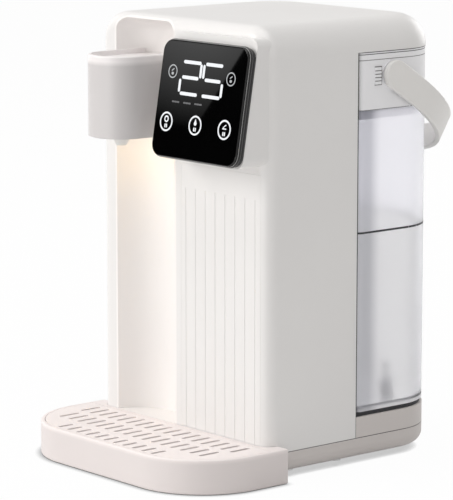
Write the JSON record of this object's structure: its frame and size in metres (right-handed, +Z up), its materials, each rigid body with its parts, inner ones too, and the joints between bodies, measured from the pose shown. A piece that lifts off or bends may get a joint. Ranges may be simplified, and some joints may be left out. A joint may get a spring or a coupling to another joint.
{
  "type": "hot water dispenser",
  "caption": "White countertop hot water dispenser with side spout, tilted touch panel, slotted drip tray and a clear rear tank with a carrying bail.",
  "frame": {"origin": "centre of the bounding box's bottom, on the surface the feet and tray stand on", "axes": "+Z up, front with spout and touch panel towards -Y, +X to the user's right"},
  "size_m": [0.191, 0.2688, 0.2903],
  "materials": {
    "white_shell": "satin gloss white moulding",
    "spout_white": "satin white moulding",
    "collar_white": "satin cool white moulding",
    "base_white": "satin warm white moulding",
    "tray_white": "fine satin white moulding",
    "bail_grey": "satin light grey moulding",
    "black_glass": "polished black touch panel",
    "dark_trim": "satin black trim",
    "clear_tank": "clear moulded plastic",
    "dark_rubber": "matte dark rubber",
    "silicone": "milky silicone",
    "white_fitting": "plain white moulding",
    "light_lens": "warm lit lens",
    "circuit_board": "green circuit board",
    "black_part": "black moulded plastic",
    "steel": "plain steel",
    "heater_cap": "heat-proof brown plastic"
  },
  "bodies": {
    "housing": {"housing_shell": "white_shell", "base_pan": "base_white", "base_screws": "steel", "rubber_feet": "dark_rubber", "cord_gland": "dark_trim", "front_fascia": "white_shell", "niche_liner": "white_shell", "panel_glass": "black_glass", "panel_frame": "dark_trim", "panel_case": "dark_trim", "display_board": "circuit_board", "digit_module": "black_part", "panel_cradle": "white_shell", "spout_head": "spout_white", "spout_floor": "spout_white", "spout_nozzle": "silicone", "spout_light": "light_lens", "light_board": "circuit_board", "tank_dock": "base_white", "dock_mat": "dark_rubber", "float_sensor": "circuit_board", "dock_socket": "white_fitting", "socket_seal": "dark_rubber", "bay_wall": "base_white", "power_board": "circuit_board", "board_screws": "steel", "board_relays": "black_part", "board_coil": "black_part", "pump_head": "black_part", "pump_motor": "steel", "pump_cradle": "black_part", "inlet_hose": "silicone", "riser_hose": "silicone", "hot_hose": "silicone", "heater_tube": "steel", "heater_cap_lower": "heater_cap", "heater_cap_upper": "heater_cap", "heater_clamp": "steel", "temperature_probe": "steel", "thermal_cutout": "black_part"},
    "tank": {"tank_shell": "clear_tank", "tank_collar": "collar_white", "tank_lid": "collar_white", "tank_spigot": "white_fitting", "spigot_valve": "silicone", "spigot_strainer": "white_fitting", "float_guide": "white_fitting", "handle_pins": "bail_grey"},
    "bail": {"handle_bail": "bail_grey"},
    "float": {"level_float": "white_fitting"},
    "tray": {"drip_tray": "tray_white"},
    "grid": {"drip_grid": "tray_white"},
    "impeller": {"pump_impeller": "black_part"}
  },
  "joints": [
    {"name": "tank_slide", "type": "slide", "parent": "housing", "child": "tank", "axis": [0, 1, 0], "range_m": [0, 0.16]},
    {"name": "handle_pivot", "type": "hinge", "parent": "tank", "child": "bail", "pos_m": [0, 0.04217, 0.2538], "axis": [1, 0, 0], "range_deg": [0, 120]},
    {"name": "float_rise", "type": "slide", "parent": "tank", "child": "float", "axis": [0, 0, 1], "range_m": [0, 0.008]},
    {"name": "tray_slide", "type": "slide", "parent": "housing", "child": "tray", "axis": [0, -1, 0], "range_m": [0, 0.13]},
    {"name": "grid_lift", "type": "slide", "parent": "tray", "child": "grid", "axis": [0, 0, 1], "range_m": [0, 0.04]},
    {"name": "impeller_spin", "type": "hinge", "parent": "housing", "child": "impeller", "pos_m": [0.03, -0.02293, 0.05], "axis": [0, 1, 0], "continuous": true}
  ]
}
